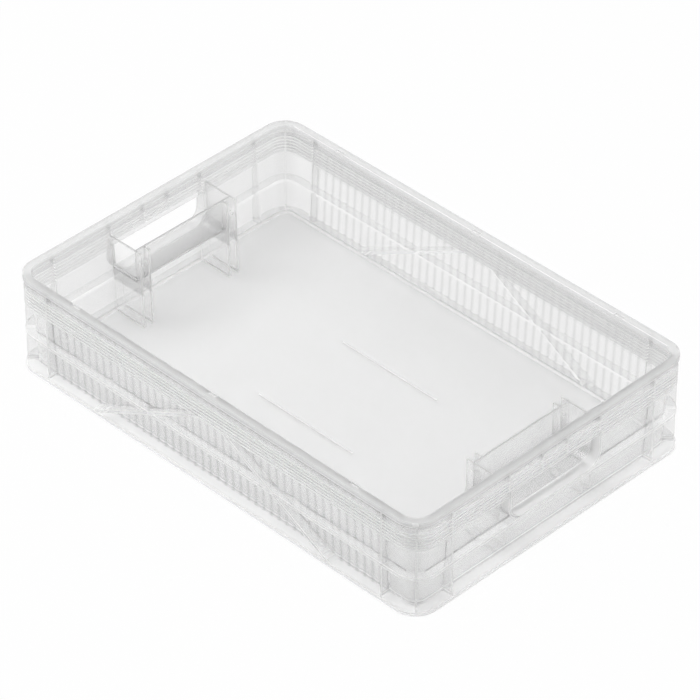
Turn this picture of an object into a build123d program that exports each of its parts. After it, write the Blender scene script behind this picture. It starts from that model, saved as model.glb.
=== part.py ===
from build123d import *
from math import atan2, degrees, hypot
import os

os.makedirs("parts", exist_ok=True)

# A stackable clear crate with a finger guard clipped in behind each hand hole. Sizes are in millimetres.
# The crate stands on z = 0 with its middle at x = y = 0 and its long sides along X.
# An inset is a depth in from the outer envelope, and a setback is measured from the end of a side.

# Envelope
LENGTH = 592.0
WIDTH = 400.0
HEIGHT = 120.0
CORNER_RADIUS = 28.0
LEAST_RADIUS = 2.0

# Drafted wall and floor
WALL = 2.5
WALL_INSET_FOOT = 14.2
WALL_INSET_HEAD = 7.5
FLOOR_THICKNESS = 3.0
FLOOR_CLEARANCE = 4.0
FLOOR_CHAMFER = 2.0
OVERCUT = 2.0

# Rim flange
RIM_THICKNESS = 4.8
RIM_CHAMFER = 1.0
SLOT_LENGTH = 11.0
SLOT_WIDTH = 3.0
SLOT_DEPTH = 3.0
SLOT_INSET = 7.7
SLOT_SPACING = 203.0

# Level ribs round the outside: foot ledge, middle rib and the band of thin fins under the rim
LEDGE_THICKNESS = 4.1
MIDDLE_RIB_BASE = 45.0
MIDDLE_RIB_THICKNESS = 3.9
RIB_INSET = 0.8
FIN_COUNT = 6
FIN_PITCH = 3.95
FIN_THICKNESS = 1.3
FIN_DROP = 16.6
FIN_INSET = 1.1

# Upright webs: one in each corner and pairs on each side
WEB_THICKNESS = 2.0
WEB_INSET = 1.6
LONG_SIDE_WEB_SETBACK = 51.0
END_WEB_SETBACK = 52.6
BAND_WEB_OFFSET = 18.0

# Slanted ribs on the long sides
SLANT_THICKNESS = 4.0
SLANT_FOOT = 171.0
SLANT_HEAD = 22.0

# Reeding on the long walls
REED_PITCH = 11.1
REED_HEIGHT = 0.8
REED_BACKING = 1.0

# Hand hole in each end wall, with the frame that stands out round it
HOLE_HALF_WIDTH = 64.7
HOLE_RADIUS = 17.0
HOLE_FRAME = 3.0

# Stiffeners under the floor
STIFFENER_LENGTH = 138.0
STIFFENER_THICKNESS = 1.4
STIFFENER_DEPTH = 2.5
STIFFENER_OFFSET = 62.0

# Finger guards
GUARD_WALL = 2.0
GUARD_GAP = 0.3
GUARD_SIDE_MARGIN = 3.3
GUARD_REACH = 48.0
GUARD_TOP_DROP = 17.0
GUARD_POCKET_RADIUS = 18.0
GUARD_FIN_REACH = 8.0
GUARD_FIN_DRAFT = 1.5
GUARD_FIN_SPACING = 12.0
BOSS_DIAMETER = 5.5
BOSS_HEIGHT = 1.0
BOSS_DROP = 18.0

DRAFT = degrees(atan2(WALL_INSET_FOOT - WALL_INSET_HEAD, HEIGHT))
FLOOR_TOP = FLOOR_CLEARANCE + FLOOR_THICKNESS
RIM_BASE = HEIGHT - RIM_THICKNESS
MIDDLE_RIB_TOP = MIDDLE_RIB_BASE + MIDDLE_RIB_THICKNESS
FIN_BASES = [HEIGHT - FIN_DROP - k * FIN_PITCH for k in range(FIN_COUNT)]
BAND_BASE = FIN_BASES[-1]
HOLE_BASE = MIDDLE_RIB_TOP + HOLE_FRAME
HOLE_TOP = FIN_BASES[3] - HOLE_FRAME + FIN_THICKNESS / 2


def outline(inset):
    """Returns the envelope's outline, drawn a given depth further in."""
    radius = max(CORNER_RADIUS - inset, LEAST_RADIUS)
    return RectangleRounded(LENGTH - 2 * inset, WIDTH - 2 * inset, radius)


def plate(base, thickness, inset):
    """Returns a level plate with the envelope's outline."""
    return Pos(0, 0, base) * extrude(outline(inset), thickness)


def wall_inset(z):
    """Returns the depth of the wall's outer face at a height."""
    return WALL_INSET_FOOT - (WALL_INSET_FOOT - WALL_INSET_HEAD) * z / HEIGHT


def drafted(low, high, further):
    """Returns the solid inside the wall's outer face, drawn a given depth further in."""
    foot = Pos(0, 0, low) * outline(wall_inset(low) + further)
    return extrude(foot, high - low, taper=-DRAFT)


def cavity(gap):
    """Returns the crate's inside, kept a given gap clear of its walls."""
    space = drafted(FLOOR_TOP, HEIGHT + OVERCUT, WALL + gap)
    return chamfer(space.faces().sort_by(Axis.Z)[0].edges(), FLOOR_CHAMFER)


def on_both_sides(shapes, plane):
    """Returns the shapes with their mirror images."""
    return shapes + [mirror(shape, about=plane) for shape in shapes]


def grip_face(half_width, base, top, radius):
    """Returns a hand hole's outline across the end wall: rounded below, square above."""
    face = Pos(0, (base + top) / 2) * Rectangle(2 * half_width, top - base)
    return Plane.YZ * fillet(face.vertices().group_by(Axis.Y)[0], radius)


def make_level_ribs():
    """Returns the foot ledge, the middle rib and the fins of the band."""
    ledge = plate(0, LEDGE_THICKNESS, 0)
    middle = plate(MIDDLE_RIB_BASE, MIDDLE_RIB_THICKNESS, RIB_INSET)
    fins = [plate(base, FIN_THICKNESS, FIN_INSET) for base in FIN_BASES]
    return [ledge, middle] + fins


def make_webs():
    """Returns the upright webs, cut to the outline that they stand out to."""
    height = RIM_BASE - LEDGE_THICKNESS / 2
    middle = LEDGE_THICKNESS / 2 + height / 2
    reach = WALL_INSET_FOOT + WALL
    long_side = Pos(LENGTH / 2 - LONG_SIDE_WEB_SETBACK, WIDTH / 2 - reach / 2, middle)
    long_side *= Box(WEB_THICKNESS, reach, height)
    end_side = Pos(LENGTH / 2 - reach / 2, WIDTH / 2 - END_WEB_SETBACK, middle)
    end_side *= Box(reach, WEB_THICKNESS, height)
    corner = Pos(LENGTH / 2 - CORNER_RADIUS, WIDTH / 2 - CORNER_RADIUS, middle) * Rot(0, 0, 45)
    corner *= Pos(CORNER_RADIUS / 2, 0, 0) * Box(CORNER_RADIUS, WEB_THICKNESS, height)
    band_height = RIM_BASE - BAND_BASE
    band_middle = BAND_BASE + band_height / 2
    band_webs = []
    for offset in (BAND_WEB_OFFSET, HOLE_HALF_WIDTH + HOLE_FRAME / 2):
        web = Box(reach, WEB_THICKNESS, band_height)
        band_webs.append(Pos(LENGTH / 2 - reach / 2, offset, band_middle) * web)
    webs = on_both_sides([long_side, end_side, corner] + band_webs, Plane.XZ)
    webs = on_both_sides(webs, Plane.YZ)
    limit = plate(0, HEIGHT, WEB_INSET)
    return [web & limit for web in webs]


def make_slants():
    """Returns the ribs that slope from the foot ledge up to the band, cut to the rib outline."""
    run = SLANT_FOOT - SLANT_HEAD
    rise = BAND_BASE - LEDGE_THICKNESS
    reach = WALL_INSET_FOOT + WALL
    overlap = 2 * SLANT_THICKNESS
    slant = Box(hypot(run, rise) + overlap, reach, SLANT_THICKNESS)
    slant = Rot(0, degrees(atan2(rise, run)), 0) * slant
    centre = ((SLANT_FOOT + SLANT_HEAD) / 2, WIDTH / 2 - reach / 2, LEDGE_THICKNESS + rise / 2)
    slants = on_both_sides([Pos(*centre) * slant], Plane.XZ)
    slants = on_both_sides(slants, Plane.YZ)
    limit = plate(LEDGE_THICKNESS / 2, rise + LEDGE_THICKNESS / 2 + FIN_THICKNESS / 2, RIB_INSET)
    return [slant & limit for slant in slants]


def make_reeding():
    """Returns the rounded upright reeds on both long walls, which lean with the wall up to the band."""
    span = LENGTH - 2 * LONG_SIDE_WEB_SETBACK
    count = round(span / REED_PITCH)
    pitch = span / count
    base = LEDGE_THICKNESS / 2
    top = BAND_BASE + FIN_THICKNESS / 2
    rise = top - base
    lean = wall_inset(base) - wall_inset(top)
    foot = WIDTH / 2 - wall_inset(base)
    starts = [k * pitch - span / 2 for k in range(count)]
    arcs = [ThreePointArc((x, 0), (x + pitch / 2, REED_HEIGHT), (x + pitch, 0)) for x in starts]
    back = Polyline((span / 2, 0), (span / 2, -REED_BACKING), (-span / 2, -REED_BACKING), (-span / 2, 0))
    across_wall = Plane(origin=(0, foot, base), x_dir=(1, 0, 0), z_dir=(0, lean, rise))
    reeds = extrude(across_wall * make_face(Curve() + arcs + back), hypot(rise, lean))
    return on_both_sides([reeds], Plane.XZ)


def make_hole_frames():
    """Returns the frames that stand out round the hand holes."""
    face = grip_face(HOLE_HALF_WIDTH + HOLE_FRAME, HOLE_BASE - HOLE_FRAME, HOLE_TOP + HOLE_FRAME,
                     HOLE_RADIUS + HOLE_FRAME)
    reach = WALL_INSET_FOOT + WALL
    frame = Pos(LENGTH / 2 - reach, 0, 0) * extrude(face, reach - RIB_INSET)
    return on_both_sides([frame], Plane.YZ)


def make_holes():
    """Returns the space that the hand holes take out of the end walls."""
    face = grip_face(HOLE_HALF_WIDTH, HOLE_BASE, HOLE_TOP, HOLE_RADIUS)
    reach = WALL_INSET_FOOT + WALL + OVERCUT
    hole = Pos(LENGTH / 2 - reach, 0, 0) * extrude(face, reach + OVERCUT)
    return on_both_sides([hole], Plane.YZ)


def make_rim():
    """Returns the flange round the top, chamfered along its upper edges and with slots for a lid."""
    rim = plate(RIM_BASE, RIM_THICKNESS, 0) - drafted(0, HEIGHT + OVERCUT, WALL)
    rim = chamfer(rim.edges().group_by(Axis.Z)[-1], RIM_CHAMFER)
    slot = Box(SLOT_LENGTH, SLOT_WIDTH, 2 * SLOT_DEPTH)
    slots = []
    for k in (-1, 0, 1):
        slots.append(Pos(k * SLOT_SPACING, WIDTH / 2 - SLOT_INSET, HEIGHT) * slot)
    return rim - on_both_sides(slots, Plane.XZ)


def make_stiffeners():
    """Returns the thin ribs under the floor."""
    height = STIFFENER_DEPTH + FLOOR_THICKNESS / 2
    rib = Box(STIFFENER_LENGTH, STIFFENER_THICKNESS, height)
    middle = FLOOR_CLEARANCE - STIFFENER_DEPTH + height / 2
    return on_both_sides([Pos(0, STIFFENER_OFFSET, middle) * rib], Plane.XZ)


def make_tub():
    """Returns the crate's single moulding."""
    shell = drafted(0, HEIGHT - RIM_THICKNESS / 2, 0)
    shell += make_level_ribs() + make_webs() + make_slants() + make_reeding() + make_hole_frames()
    shell -= plate(0, FLOOR_CLEARANCE, WALL_INSET_FOOT + WALL)
    shell -= [cavity(0)] + make_holes()
    return shell + [make_rim()] + make_stiffeners()


def guard_shell(outward):
    """Returns the pocket's block, grown outward by a thickness, with its lower edges rounded."""
    radius = GUARD_POCKET_RADIUS + outward
    base = HOLE_BASE - outward
    top = HEIGHT - GUARD_TOP_DROP
    half_width = HOLE_HALF_WIDTH + GUARD_SIDE_MARGIN + outward
    front = LENGTH / 2 - GUARD_REACH - outward
    across = extrude(grip_face(half_width, base, top, radius), LENGTH)
    depth = LENGTH / 2 - front
    side = Pos(front + depth / 2, (base + top) / 2) * Rectangle(depth, top - base)
    corner = side.vertices().group_by(Axis.Y)[0].sort_by(Axis.X)[0]
    along = extrude(Plane.XZ * fillet(corner, radius), 2 * half_width, both=True)
    return across & along


def guard_fin(y, base):
    """Returns one upright fin, from the tip that stands out past the panel back to the end wall."""
    top = HEIGHT - GUARD_TOP_DROP
    tip = LENGTH / 2 - GUARD_REACH - GUARD_WALL - GUARD_FIN_REACH
    foot_tip = tip - GUARD_FIN_DRAFT
    outer = LENGTH / 2
    edge = Polyline((tip, top), (foot_tip, base), (outer, base), (outer, top), close=True)
    fin = extrude(Plane.XZ * make_face(edge), GUARD_WALL / 2, both=True)
    return Pos(0, y, 0) * fin


def make_guard():
    """Returns the finger guard at the +X end."""
    side = HOLE_HALF_WIDTH + GUARD_SIDE_MARGIN + GUARD_WALL / 2
    inner = side - GUARD_FIN_SPACING
    fins = [guard_fin(side, FLOOR_TOP), guard_fin(inner, FLOOR_TOP)]
    boss_x = LENGTH / 2 - GUARD_REACH - GUARD_WALL - GUARD_FIN_REACH / 2
    boss_z = HEIGHT - GUARD_TOP_DROP - BOSS_DROP
    boss = Rot(90, 0, 0) * Cylinder(BOSS_DIAMETER / 2, GUARD_WALL + 2 * BOSS_HEIGHT)
    bosses = [Pos(boss_x, side - BOSS_HEIGHT, boss_z) * boss, Pos(boss_x, inner + BOSS_HEIGHT, boss_z) * boss]
    pocket = guard_shell(0) + Pos(0, 0, OVERCUT) * guard_shell(0)
    guard = guard_shell(GUARD_WALL) + on_both_sides(fins + bosses, Plane.XZ) - pocket
    return guard & cavity(GUARD_GAP)


tub = make_tub()
guard_right = make_guard()
guard_left = mirror(guard_right, about=Plane.YZ)

export_step(tub, "parts/crate_tub.step")
export_step(guard_right, "parts/grip_guard_right.step")
export_step(guard_left, "parts/grip_guard_left.step")
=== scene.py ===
# Looks of the clear stacking crate: clear plastic, plain white surroundings and the photograph's camera.
import math

import bpy
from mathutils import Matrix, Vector

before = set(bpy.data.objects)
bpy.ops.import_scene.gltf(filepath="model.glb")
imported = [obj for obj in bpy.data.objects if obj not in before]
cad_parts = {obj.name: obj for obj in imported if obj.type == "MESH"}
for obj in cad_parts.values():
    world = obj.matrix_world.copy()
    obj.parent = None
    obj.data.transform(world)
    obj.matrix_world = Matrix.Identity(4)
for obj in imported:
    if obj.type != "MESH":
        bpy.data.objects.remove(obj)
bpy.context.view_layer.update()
scene = bpy.context.scene

# Lengths are in metres and angles in degrees.

# Camera, fitted to the photograph's outline
CAMERA_AZIMUTH = 45.0
CAMERA_ELEVATION = 38.213
CAMERA_DISTANCE = 5.15018
CAMERA_LENS = 250.0
CAMERA_SENSOR = 36.0
AIM = Vector((-0.059302, 0.06367, 0.0))
AIM_RIGHT = -0.00053
AIM_UP = 0.00053
CAMERA_REACH = 100.0

# Surroundings
WHITE = (1.0, 1.0, 1.0, 1.0)
TABLE_SIZE = 12.0
TABLE_COLOUR = (0.86, 0.86, 0.86, 1.0)
TABLE_GLOW = 0.97
# Under the crate the table glows less: a painted shadow, through which the real shadow also shows
TABLE_GLOW_UNDER = 0.25
SHADOW_INNER = 0.003
SHADOW_OUTER = 0.002
FOOT_HALF_LENGTH = 0.296
FOOT_HALF_WIDTH = 0.2
FOOT_RADIUS = 0.028
SKY_LOW = 0.8
SKY_HIGH = 0.5
SKY_TOP = 0.7
UNDER_ONE_BOUNCE = 0.5

# Bounces: enough for light to pass the crate's many walls
BOUNCES = {"max": 32, "transmission": 28, "glossy": 8, "diffuse": 3, "transparent_max": 64}

# Lamps: where they stand, what they point at, and how strong they are in watts
LAMP_SIZE = 1.6
LAMP_TARGET = Vector((0.0, 0.0, 0.05))
LAMPS = {"key": ((-1.6, -1.2, 2.6), 38.0), "fill": ((1.8, 1.4, 2.2), 14.0)}

# Plastic
REFRACTION = 1.12
SHADOW_TINT = 0.94
ABSORPTION_COLOUR = (0.5, 0.5, 0.5, 1.0)
POLISH_LOW = 0.09
POLISH_HIGH = 0.14
RIPPLE_SCALE = 38.0
RIPPLE_STRENGTH = 0.02
RIPPLE_HEIGHT = 0.0006
RIPPLE_DETAIL = 2.0
GRAIN_SCALE = 420.0
GRAIN_DETAIL = 3.0
GRAIN_RANGE = (0.3, 0.7)
COAT = 0.3
COAT_ROUGHNESS = 0.06
COAT_REFRACTION = 1.45
EDGE_REACH = 0.0013
GUARD_EDGE_REACH = 0.0018
EDGE_NONE = 0.92
EDGE_FULL = 0.6
EDGE_CLEAR = 0.3
GUARD_EDGE_CLEAR = 0.1
# SHUT and OPEN map ambient occlusion to the painted shade in gaps and under the rim
SHUT = 0.25
OPEN = 0.95
OCCLUSION_SAMPLES = 2

# Places on the tub, which take a painted shade or a clearness of their own
FLOOR_TOP = 0.0072
FLOOR_STEP = 0.0013
FLOOR_CLEAR = 0.7
FLOOR_SHADE = 0.95
STIFFENER_CLEAR = 0.4
STIFFENER_HALF_LENGTH = 0.069
STIFFENER_OFFSET = 0.062
STIFFENER_HALF_WIDTH = 0.0008
RIM_BASE = 0.1151
RIM_STEP = 0.0002
RIM_SHADE = 0.86
RIM_CLEAR = 0.6
RECESS_BASE = 0.1048
RECESS_DARK = 0.1085
RECESS_SHADE = 0.34
RECESS_LEAST = 0.3
SLOT_FOOT = 0.1165
SLOT_HEAD = 0.1199
SLOT_INNER = 0.1903
SLOT_OUTER = 0.1945
SLOT_CLEAR = 0.3
HOLE_HALF_WIDTH = 0.0647
HOLE_RADIUS = 0.017
HOLE_BASE = 0.0519
HOLE_TOP = 0.0895
LIP_INNER = 0.2815
LIP_INSIDE = 0.0006
LIP_OUTSIDE = 0.0003
LIP_CLEAR = 0.55
LIP_SHADE = 0.07
CHAMFER_FOOT = 0.0072
CHAMFER_HEAD = 0.0091
CHAMFER_CLEAR = 0.45
REED_SPAN = 0.49
REED_COUNT = 44
REED_PITCH = REED_SPAN / REED_COUNT
REED_FOOT = 0.1845
REED_HEAD = 0.188
REED_LEAN = 0.0558
GROOVE_SHARPNESS = 5.0
GROOVE_SHADE = 0.24
BAND_BASE = 0.0837
BAND_INNER = 0.182
BAND_GROOVE = 0.4
BAND_SHADE = 0.06
LEDGE_LENGTH = 0.2816
LEDGE_WIDTH = 0.1856
LEDGE_CLEAR = 0.7
LEDGE_SHADE = 0.96

# Places on the finger guards, with painted shade: the pocket is darkest where it curves under, and the top
# edge is painted dark
GUARD_TOP = 0.1029
GUARD_TOP_SHADE = 0.7
GUARD_FOOT = 0.0084
PANEL_FRONT = 0.2455
PANEL_BACK = 0.2485
PANEL_SHADE = 0.96
POCKET_BASE = 0.048
POCKET_FOOT = 0.056
POCKET_HEAD = 0.085
POCKET_CURVE = 0.262
POCKET_BACK = 0.28
POCKET_SHADE = 0.2
POCKET_LEAST = 0.8


class Nodes:
    """Builds a node tree in short calls."""

    def __init__(self, tree):
        self.tree = tree
        tree.nodes.clear()

    def add(self, kind, **values):
        """Adds a node, sets the named properties, and sets or links the named inputs."""
        node = self.tree.nodes.new(kind)
        for key, value in values.items():
            if key in node.inputs:
                self.put(node.inputs[key], value)
            else:
                setattr(node, key, value)
        return node

    def put(self, socket, value):
        """Sets a socket, or links it when the value is another node's output."""
        if isinstance(value, bpy.types.NodeSocket):
            self.tree.links.new(value, socket)
        else:
            socket.default_value = value

    def maths(self, operation, first, second=0.0):
        """Returns the output of a math node over two values or outputs."""
        node = self.add("ShaderNodeMath", operation=operation)
        self.put(node.inputs[0], first)
        self.put(node.inputs[1], second)
        return node.outputs[0]

    def ranged(self, value, low, high, to_low, to_high, kind="LINEAR"):
        """Maps a value from one range to another, clamped at both ends."""
        node = self.add("ShaderNodeMapRange", interpolation_type=kind, Value=value)
        for name, number in (("From Min", low), ("From Max", high), ("To Min", to_low), ("To Max", to_high)):
            self.put(node.inputs[name], number)
        return node.outputs["Result"]

    def smooth(self, value, low, high, to_low, to_high):
        """Maps a value from one range to another on a soft curve."""
        return self.ranged(value, low, high, to_low, to_high, "SMOOTHSTEP")

    def between(self, share, low, high):
        """Returns a value that goes from low to high as the share goes from 0 to 1."""
        return self.ranged(share, 0.0, 1.0, low, high)

    def dimmed(self, shade, share, level):
        """Multiplies a shade by a level where the share is 1, and leaves it where the share is 0."""
        return self.maths("MULTIPLY", shade, self.between(share, 1.0, level))

    def size(self, value):
        """Returns a value without its sign."""
        return self.maths("ABSOLUTE", value)

    def inverse(self, share):
        """Returns 1 minus a share."""
        return self.maths("SUBTRACT", 1.0, share)

    def all_of(self, first, *others):
        """Returns the product of shares, which is 1 where all of them are."""
        for other in others:
            first = self.maths("MULTIPLY", first, other)
        return first

    def any_of(self, first, *others):
        """Returns the largest of shares."""
        for other in others:
            first = self.maths("MAXIMUM", first, other)
        return first

    def within(self, value, low, high):
        """Returns 1 where a value lies between two limits, and 0 elsewhere."""
        above = self.maths("GREATER_THAN", value, low)
        below = self.maths("LESS_THAN", value, high)
        return self.all_of(above, below)

    def mixed(self, share, first, second):
        """Returns a shader that goes from the first to the second as the share goes from 0 to 1."""
        node = self.add("ShaderNodeMixShader")
        self.put(node.inputs[0], share)
        self.put(node.inputs[1], first)
        self.put(node.inputs[2], second)
        return node.outputs["Shader"]


def new_material(name):
    """Returns a new material and its empty node tree."""
    material = bpy.data.materials.new(name)
    material.use_nodes = True
    return material, Nodes(material.node_tree)


def object_place(made):
    """Returns a point in the object's own coordinates, whole and split into X, Y and Z."""
    point = made.add("ShaderNodeTexCoord").outputs["Object"]
    return point, made.add("ShaderNodeSeparateXYZ", Vector=point)


def seen_from_inside(made):
    """Returns 1 where a ray meets a surface from within the solid."""
    return made.add("ShaderNodeNewGeometry").outputs["Backfacing"]


def beyond(made, values_and_limits):
    """Returns how far a point lies past the limits, measured round the corner between them."""
    past = made.add("ShaderNodeCombineXYZ")
    for axis, (value, limit) in zip("XY", values_and_limits):
        made.put(past.inputs[axis], made.maths("MAXIMUM", made.maths("SUBTRACT", value, limit), 0.0))
    distance = made.add("ShaderNodeVectorMath", operation="LENGTH")
    made.put(distance.inputs[0], past.outputs["Vector"])
    return distance.outputs["Value"]


def open_share(made, backfacing, reach):
    """Returns how open the surroundings of a surface are, which is 0 deep in a gap, where shade is painted.
    """
    light = made.add("ShaderNodeAmbientOcclusion", samples=OCCLUSION_SAMPLES, Distance=reach).outputs["AO"]
    return made.any_of(made.ranged(light, SHUT, OPEN, 0.0, 1.0), backfacing)


def edge_share(made, backfacing, reach):
    """Returns 1 along the thin edges of ribs and walls, where the plastic looks milky."""
    inner = made.add("ShaderNodeAmbientOcclusion", samples=OCCLUSION_SAMPLES, Distance=reach)
    inner.inside = True
    inner.only_local = True
    edge = made.ranged(inner.outputs["AO"], EDGE_NONE, EDGE_FULL, 0.0, 1.0)
    return made.all_of(edge, made.inverse(backfacing))


def wall_depth(made, place):
    """Returns how far out a point lies, measured along the lean of the long walls."""
    lean = made.maths("MULTIPLY", place.outputs["Z"], REED_LEAN)
    return made.maths("SUBTRACT", made.size(place.outputs["Y"]), lean)


def groove_share(made, place):
    """Returns 1 in the grooves between the reeds outside the long walls, and less behind the fins."""
    turn = made.maths("MULTIPLY", place.outputs["X"], math.pi / REED_PITCH)
    wave = made.size(made.maths("COSINE", turn))
    groove = made.maths("POWER", wave, GROOVE_SHARPNESS)
    on_wall = made.within(wall_depth(made, place), REED_FOOT, REED_HEAD)
    on_span = made.within(place.outputs["X"], -REED_SPAN / 2, REED_SPAN / 2)
    height = place.outputs["Z"]
    low = made.maths("LESS_THAN", height, RECESS_BASE)
    strength = made.ranged(height, BAND_BASE, BAND_BASE + RIM_STEP, 1.0, BAND_GROOVE)
    return made.all_of(groove, low, strength, on_wall, on_span)


def band_share(made, place):
    """Returns 1 on the upright wall behind the band of fins, along the long sides."""
    on_wall = made.within(wall_depth(made, place), BAND_INNER, REED_HEAD)
    return made.all_of(on_wall, made.within(place.outputs["Z"], BAND_BASE, RIM_BASE))


def ledge_share(made, place, above_floor):
    """Returns 1 on the foot ledge, outside the walls and below the floor's top."""
    along = made.maths("GREATER_THAN", made.size(place.outputs["X"]), LEDGE_LENGTH)
    across = made.maths("GREATER_THAN", made.size(place.outputs["Y"]), LEDGE_WIDTH)
    return made.all_of(made.any_of(along, across), made.inverse(above_floor))


def stiffener_share(made, place):
    """Returns 1 along the lines where the stiffeners under the floor show through it."""
    low = made.maths("LESS_THAN", place.outputs["Z"], FLOOR_TOP)
    along = made.within(place.outputs["X"], -STIFFENER_HALF_LENGTH, STIFFENER_HALF_LENGTH)
    inner = STIFFENER_OFFSET - STIFFENER_HALF_WIDTH
    outer = STIFFENER_OFFSET + STIFFENER_HALF_WIDTH
    across = made.within(made.size(place.outputs["Y"]), inner, outer)
    return made.all_of(low, along, across)


def slot_share(made, place):
    """Returns 1 inside the lid slots in the rim."""
    low = made.within(place.outputs["Z"], SLOT_FOOT, SLOT_HEAD)
    across = made.within(made.size(place.outputs["Y"]), SLOT_INNER, SLOT_OUTER)
    return made.all_of(low, across)


def lip_share(made, place):
    """Returns 1 on the cut faces of the hand holes, along their sides, lower corners and foot."""
    across = made.size(place.outputs["Y"])
    down = made.maths("MULTIPLY", place.outputs["Z"], -1.0)
    distance = beyond(made, [(across, HOLE_HALF_WIDTH - HOLE_RADIUS), (down, -HOLE_BASE - HOLE_RADIUS)])
    on_face = made.within(distance, HOLE_RADIUS - LIP_INSIDE, HOLE_RADIUS + LIP_OUTSIDE)
    low = made.maths("LESS_THAN", place.outputs["Z"], HOLE_TOP)
    end = made.maths("GREATER_THAN", made.size(place.outputs["X"]), LIP_INNER)
    return made.all_of(on_face, low, end)


def recess_share(made, place, light):
    """Returns the share of painted shade in the recess under the rim, most of all deep in it, and less near
    its foot.
    """
    height = place.outputs["Z"]
    rise = made.ranged(height, RECESS_BASE, RECESS_DARK, RECESS_LEAST, 1.0)
    within = made.within(height, RECESS_BASE, RIM_BASE)
    return made.all_of(rise, within, made.between(light, 1.0, RECESS_LEAST))


def grey(made, value):
    """Returns a grey of a given level."""
    colour = made.add("ShaderNodeCombineColor")
    for channel in ("Red", "Green", "Blue"):
        made.put(colour.inputs[channel], value)
    return colour.outputs["Color"]


def plastic(made, place, shade, clear, density):
    """Joins shade and clearness to a glossy, faintly rippled shader, and lets light through to the table."""
    ripple = made.add("ShaderNodeTexNoise", Vector=place, Scale=RIPPLE_SCALE, Detail=RIPPLE_DETAIL)
    grain = made.add("ShaderNodeTexNoise", Vector=place, Scale=GRAIN_SCALE, Detail=GRAIN_DETAIL)
    bump = made.add("ShaderNodeBump", Height=ripple.outputs["Fac"], Strength=RIPPLE_STRENGTH,
                    Distance=RIPPLE_HEIGHT)
    body = made.add("ShaderNodeBsdfPrincipled", IOR=REFRACTION, Normal=bump.outputs["Normal"])
    made.put(body.inputs["Base Color"], grey(made, shade))
    polish = made.ranged(grain.outputs["Fac"], *GRAIN_RANGE, POLISH_LOW, POLISH_HIGH)
    made.put(body.inputs["Roughness"], polish)
    made.put(body.inputs["Transmission Weight"], clear)
    body.inputs["Coat Weight"].default_value = COAT
    body.inputs["Coat Roughness"].default_value = COAT_ROUGHNESS
    body.inputs["Coat IOR"].default_value = COAT_REFRACTION
    through = made.add("ShaderNodeBsdfTransparent", Color=(SHADOW_TINT, SHADOW_TINT, SHADOW_TINT, 1.0))
    path = made.add("ShaderNodeLightPath")
    surface = made.mixed(path.outputs["Is Shadow Ray"], body.outputs["BSDF"], through.outputs["BSDF"])
    inside = made.add("ShaderNodeVolumeAbsorption", Color=ABSORPTION_COLOUR, Density=density)
    made.add("ShaderNodeOutputMaterial", Surface=surface, Volume=inside.outputs["Volume"])


def tub_plastic(base=0.963, painted_gap_shade=0.85, clear=0.77, density=1.5, reach=0.012):
    """Returns the tub's clear plastic, with painted shade in its gaps and in the grooves between the reeds,
    a rim darkened by painted shade, and a floor that is milkier and darkened by painted shade.
    """
    material, made = new_material("tub_plastic")
    point, place = object_place(made)
    height = place.outputs["Z"]
    backfacing = seen_from_inside(made)
    light = open_share(made, backfacing, reach)
    rim = made.ranged(height, RIM_BASE - RIM_STEP, RIM_BASE, 0.0, 1.0)
    chamfer = made.within(height, CHAMFER_FOOT, CHAMFER_HEAD)
    above_floor = made.ranged(height, FLOOR_TOP, FLOOR_TOP + FLOOR_STEP, 0.0, 1.0)
    slot = slot_share(made, place)
    ledge = ledge_share(made, place, above_floor)
    stiffener = stiffener_share(made, place)
    lip = lip_share(made, place)

    # Painted shade: darker in gaps, where little is open around, but not on the rim or on the floor's
    # chamfer
    shade = made.between(made.any_of(light, rim, chamfer), painted_gap_shade, base)
    # The foot ledge takes an even painted level in place of the gap shade
    shade = made.between(ledge, shade, LEDGE_SHADE)
    # Painted shade darkens the floor, but not the ledge or the lines over the stiffeners, which are also
    # milkier and show lighter
    shade = made.maths("MULTIPLY", shade,
                       made.between(made.any_of(above_floor, stiffener, ledge), FLOOR_SHADE, 1.0))
    # Painted shade on the wall behind the band of fins
    shade = made.dimmed(shade, band_share(made, place), 1.0 - BAND_SHADE)
    # Painted shade darkens the rim, but not inside the lid slots, which are milkier
    shade = made.dimmed(shade, made.maths("SUBTRACT", rim, slot), RIM_SHADE / base)
    # Painted shade in the grooves between the reeds
    shade = made.dimmed(shade, groove_share(made, place), 1.0 - GROOVE_SHADE)
    # Painted shade in the recess under the rim
    shade = made.dimmed(shade, recess_share(made, place, light), 1.0 - RECESS_SHADE)
    # Painted shade on the cut faces of the hand holes
    shade = made.dimmed(shade, lip, 1.0 - LIP_SHADE)

    clearness = made.between(above_floor, FLOOR_CLEAR, clear)
    clearness = made.between(ledge, clearness, LEDGE_CLEAR)
    clearness = made.between(rim, clearness, RIM_CLEAR)
    clearness = made.between(slot, clearness, SLOT_CLEAR)
    clearness = made.between(stiffener, clearness, STIFFENER_CLEAR)
    clearness = made.between(lip, clearness, LIP_CLEAR)
    clearness = made.between(chamfer, clearness, CHAMFER_CLEAR)
    clearness = made.between(edge_share(made, backfacing, EDGE_REACH), clearness, EDGE_CLEAR)
    plastic(made, point, shade, clearness, density)
    return material


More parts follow.
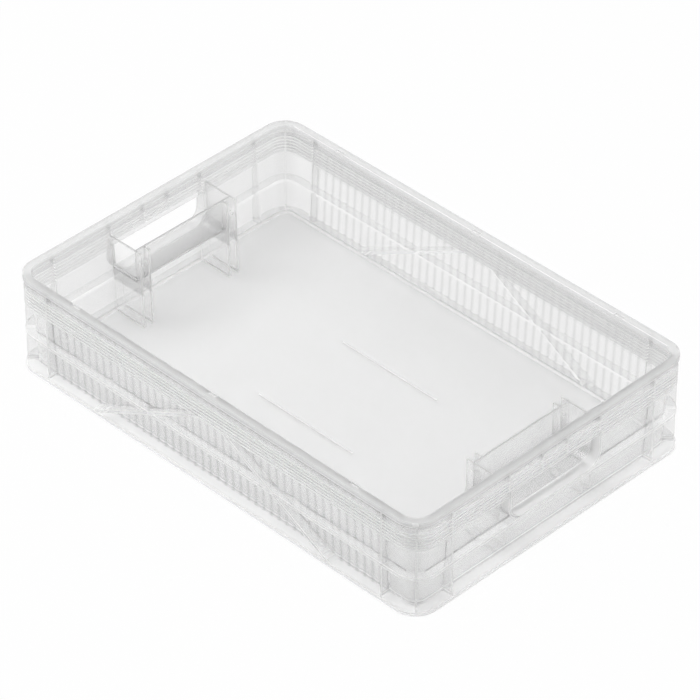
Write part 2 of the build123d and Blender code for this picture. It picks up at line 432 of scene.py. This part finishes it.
def guard_plastic(base=0.98, painted_gap_shade=0.93, clear=0.88, density=0.5, reach=0.02):
    """Returns the finger guards' clear plastic, with painted shade inside the pocket."""
    material, made = new_material("guard_plastic")
    point, place = object_place(made)
    height = place.outputs["Z"]
    outward = made.size(place.outputs["X"])
    backfacing = seen_from_inside(made)
    legs = made.maths("LESS_THAN", height, POCKET_BASE)
    above_legs = made.inverse(legs)
    inward = made.ranged(outward, POCKET_CURVE, POCKET_BACK, 1.0, POCKET_LEAST)
    low = made.ranged(height, POCKET_FOOT, POCKET_HEAD, 1.0, 0.0)
    pocket = made.all_of(low, inward, above_legs)
    panel = made.all_of(made.within(outward, PANEL_FRONT, PANEL_BACK), above_legs)
    top = made.maths("GREATER_THAN", height, GUARD_TOP)
    foot = made.maths("LESS_THAN", height, GUARD_FOOT)

    # Painted shade: darker in gaps, where little is open around; the legs are left at full white, without it
    shade = made.between(open_share(made, backfacing, reach), painted_gap_shade, base)
    shade = made.any_of(shade, legs)
    # Painted shade in the pocket, darkest where it curves under and less towards the wall
    shade = made.dimmed(shade, pocket, 1.0 - POCKET_SHADE)
    # Painted shade on the panel
    shade = made.dimmed(shade, panel, PANEL_SHADE)
    # A painted dark line along the top edge
    shade = made.dimmed(shade, top, GUARD_TOP_SHADE)

    edge = made.any_of(edge_share(made, backfacing, GUARD_EDGE_REACH), foot)
    clearness = made.between(edge, clear, GUARD_EDGE_CLEAR)
    plastic(made, point, shade, clearness, density)
    return material


def seen_share(made):
    """Returns 1 where the surroundings are seen: straight, in the gloss or through the plastic.

    Rays that have already bounced off a dull surface are left out, so dull surfaces get no light from it.
    """
    rays = made.add("ShaderNodeLightPath").outputs
    seen = made.any_of(rays["Is Camera Ray"], rays["Is Glossy Ray"], rays["Is Transmission Ray"])
    not_bounced = made.maths("LESS_THAN", rays["Diffuse Depth"], UNDER_ONE_BOUNCE)
    return made.all_of(seen, not_bounced)


def table_material():
    """Returns the white table: white where it is seen, darker under the crate, where a painted shadow lets
    the real one show, and clear from below.
    """
    material, made = new_material("white_table")
    place = object_place(made)[1]
    limits = (("X", FOOT_HALF_LENGTH - FOOT_RADIUS), ("Y", FOOT_HALF_WIDTH - FOOT_RADIUS))
    distance = beyond(made, [(made.size(place.outputs[axis]), limit) for axis, limit in limits])
    inner = FOOT_RADIUS - SHADOW_INNER
    outer = FOOT_RADIUS + SHADOW_OUTER
    # Less glow under the crate's foot: a painted shadow over the real one
    share = made.smooth(distance, inner, outer, TABLE_GLOW_UNDER, TABLE_GLOW)
    share = made.all_of(seen_share(made), share)
    matte = made.add("ShaderNodeBsdfDiffuse", Color=TABLE_COLOUR)
    glow = made.add("ShaderNodeEmission", Color=WHITE, Strength=1.0)
    surface = made.mixed(share, matte.outputs["BSDF"], glow.outputs["Emission"])
    nothing = made.add("ShaderNodeBsdfTransparent", Color=WHITE)
    surface = made.mixed(seen_from_inside(made), surface, nothing.outputs["BSDF"])
    made.add("ShaderNodeOutputMaterial", Surface=surface)
    return material


def set_world():
    """Sets a world that is white where it is seen, and that lights the crate mostly from the sides."""
    world = bpy.data.worlds.new("world")
    scene.world = world
    world.use_nodes = True
    made = Nodes(world.node_tree)
    way = made.add("ShaderNodeSeparateXYZ", Vector=made.add("ShaderNodeTexCoord").outputs["Generated"])
    sky = made.smooth(way.outputs["Z"], 0.0, SKY_TOP, SKY_LOW, SKY_HIGH)
    level = made.between(seen_share(made), sky, 1.0)
    background = made.add("ShaderNodeBackground", Color=WHITE, Strength=level)
    made.add("ShaderNodeOutputWorld", Surface=background.outputs["Background"])


def add_table():
    """Adds the table that the crate stands on."""
    bpy.ops.mesh.primitive_plane_add(size=TABLE_SIZE, location=(0, 0, 0))
    table = bpy.context.object
    table.name = "table"
    table.data.materials.append(table_material())


def add_lamp(name, place, power):
    """Adds a soft square lamp that points at the crate."""
    data = bpy.data.lights.new(name, "AREA")
    data.shape = "SQUARE"
    data.size = LAMP_SIZE
    data.energy = power
    lamp = bpy.data.objects.new(name, data)
    scene.collection.objects.link(lamp)
    lamp.location = place
    lamp.rotation_mode = "QUATERNION"
    lamp.rotation_quaternion = (LAMP_TARGET - Vector(place)).to_track_quat("-Z", "Y")


def add_camera():
    """Adds the camera at the photograph's angle, distance and framing."""
    azimuth = math.radians(CAMERA_AZIMUTH)
    elevation = math.radians(CAMERA_ELEVATION)
    level = math.cos(elevation)
    back = Vector((math.sin(azimuth) * level, -math.cos(azimuth) * level, math.sin(elevation)))
    right = Vector((math.cos(azimuth), math.sin(azimuth), 0.0))
    up = back.cross(right)
    aim = AIM + right * AIM_RIGHT + up * AIM_UP
    data = bpy.data.cameras.new("camera")
    data.lens = CAMERA_LENS
    data.sensor_width = CAMERA_SENSOR
    data.clip_end = CAMERA_REACH
    camera = bpy.data.objects.new("camera", data)
    scene.collection.objects.link(camera)
    camera.location = aim + back * CAMERA_DISTANCE
    camera.rotation_mode = "QUATERNION"
    camera.rotation_quaternion = (-back).to_track_quat("-Z", "Y")
    scene.camera = camera


def set_rendering():
    """Sets the colour view and the bounces."""
    scene.view_settings.view_transform = "Standard"
    for kind, count in BOUNCES.items():
        setattr(scene.cycles, kind + "_bounces", count)


def dress(node, material):
    """Gives every slot of a CAD node one material."""
    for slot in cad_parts[node].material_slots:
        slot.material = material


set_rendering()
set_world()
add_table()
for lamp_name, (lamp_place, lamp_power) in LAMPS.items():
    add_lamp(lamp_name, lamp_place, lamp_power)
add_camera()

dress("crate_tub", tub_plastic())
guard_look = guard_plastic()
dress("grip_guard_right", guard_look)
dress("grip_guard_left", guard_look)
